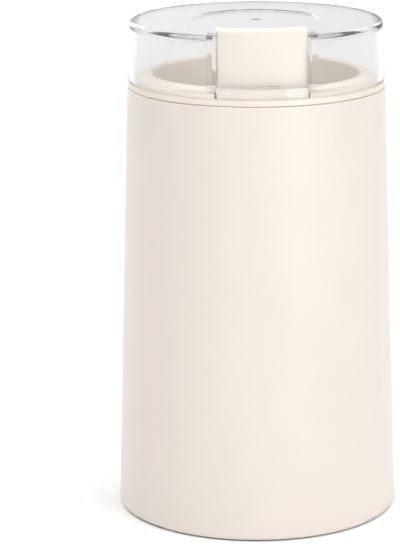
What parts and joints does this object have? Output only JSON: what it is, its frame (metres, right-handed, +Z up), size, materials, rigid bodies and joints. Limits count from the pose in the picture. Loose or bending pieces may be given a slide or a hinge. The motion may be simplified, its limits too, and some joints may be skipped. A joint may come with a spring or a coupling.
{
  "type": "electric spice grinder",
  "caption": "Tapered electric spice grinder with a clear lift-off lid, a press button in the lid's window, a steel bowl with a spinning blade and a motor below.",
  "frame": {"origin": "on the axis of the body, on the plane that the feet rest on", "axes": "+Z up along the axis of the body; -Y towards the press button; the cord inlet is at +Y"},
  "size_m": [0.092, 0.092, 0.1643],
  "materials": {
    "cream_casing": "fine satin moulding",
    "cream_collar": "fine satin moulding",
    "cream_button": "fine satin moulding",
    "clear_plastic": "polished clear plastic",
    "spring_steel": "drawn wire",
    "seal_rubber": "soft matt rubber",
    "bowl_steel": "spun and polished",
    "inner_plastic": "matt moulding",
    "zinc_screws": "bright zinc",
    "blade_steel": "stamped and ground",
    "hub_plastic": "glass-filled moulding",
    "shaft_steel": "ground",
    "lamination_steel": "stamped sheets",
    "copper": "enamelled wire and bare copper",
    "bearing_bronze": "sintered bronze",
    "cast_bracket": "die cast",
    "box_brass": "folded sheet",
    "carbon": "pressed graphite",
    "switch_plastic": "matt moulding",
    "plunger_plastic": "smooth moulding",
    "foot_rubber": "soft matt rubber",
    "inlet_rubber": "soft matt rubber",
    "capacitor_plastic": "potted plastic case"
  },
  "bodies": {
    "base": {"body_shell": "cream_casing", "collar": "cream_collar", "bowl_gasket": "seal_rubber", "grinding_bowl": "bowl_steel", "bowl_carrier": "inner_plastic", "carrier_screws": "zinc_screws", "shaft_seal": "seal_rubber", "stator_core": "lamination_steel", "field_coils": "copper", "upper_bearing": "bearing_bronze", "lower_bearing": "bearing_bronze", "upper_bracket": "cast_bracket", "lower_bracket": "cast_bracket", "tie_screws": "zinc_screws", "motor_dampers": "seal_rubber", "hanger_screws": "zinc_screws", "brush_boxes": "box_brass", "carbon_brushes": "carbon", "brush_springs": "spring_steel", "microswitch": "switch_plastic", "base_cover": "inner_plastic", "cover_screws": "zinc_screws", "rubber_feet": "foot_rubber", "cord_inlet": "inlet_rubber", "cord_clamp": "inner_plastic", "clamp_screws": "zinc_screws", "suppressor": "capacitor_plastic", "button_springs": "spring_steel"},
    "lid": {"lid": "clear_plastic"},
    "button": {"press_button": "cream_button", "switch_plunger": "plunger_plastic"},
    "rotor": {"motor_shaft": "shaft_steel", "armature_core": "lamination_steel", "armature_windings": "copper", "commutator": "copper", "cooling_fan": "hub_plastic", "blade_hub": "hub_plastic", "blade": "blade_steel", "blade_nut": "blade_steel"}
  },
  "joints": [
    {"name": "lid_lift", "type": "slide", "parent": "base", "child": "lid", "axis": [0, 0, 1], "range_m": [0, 0.07]},
    {"name": "button_press", "type": "slide", "parent": "base", "child": "button", "axis": [0, 0, -1], "range_m": [0, 0.0025], "stiffness_N_per_m": 800, "springref_m": -0.0025, "deforming": ["button_springs"]},
    {"name": "blade_spin", "type": "hinge", "parent": "base", "child": "rotor", "pos_m": [0, 0, 0.05], "axis": [0, 0, 1], "continuous": true}
  ]
}
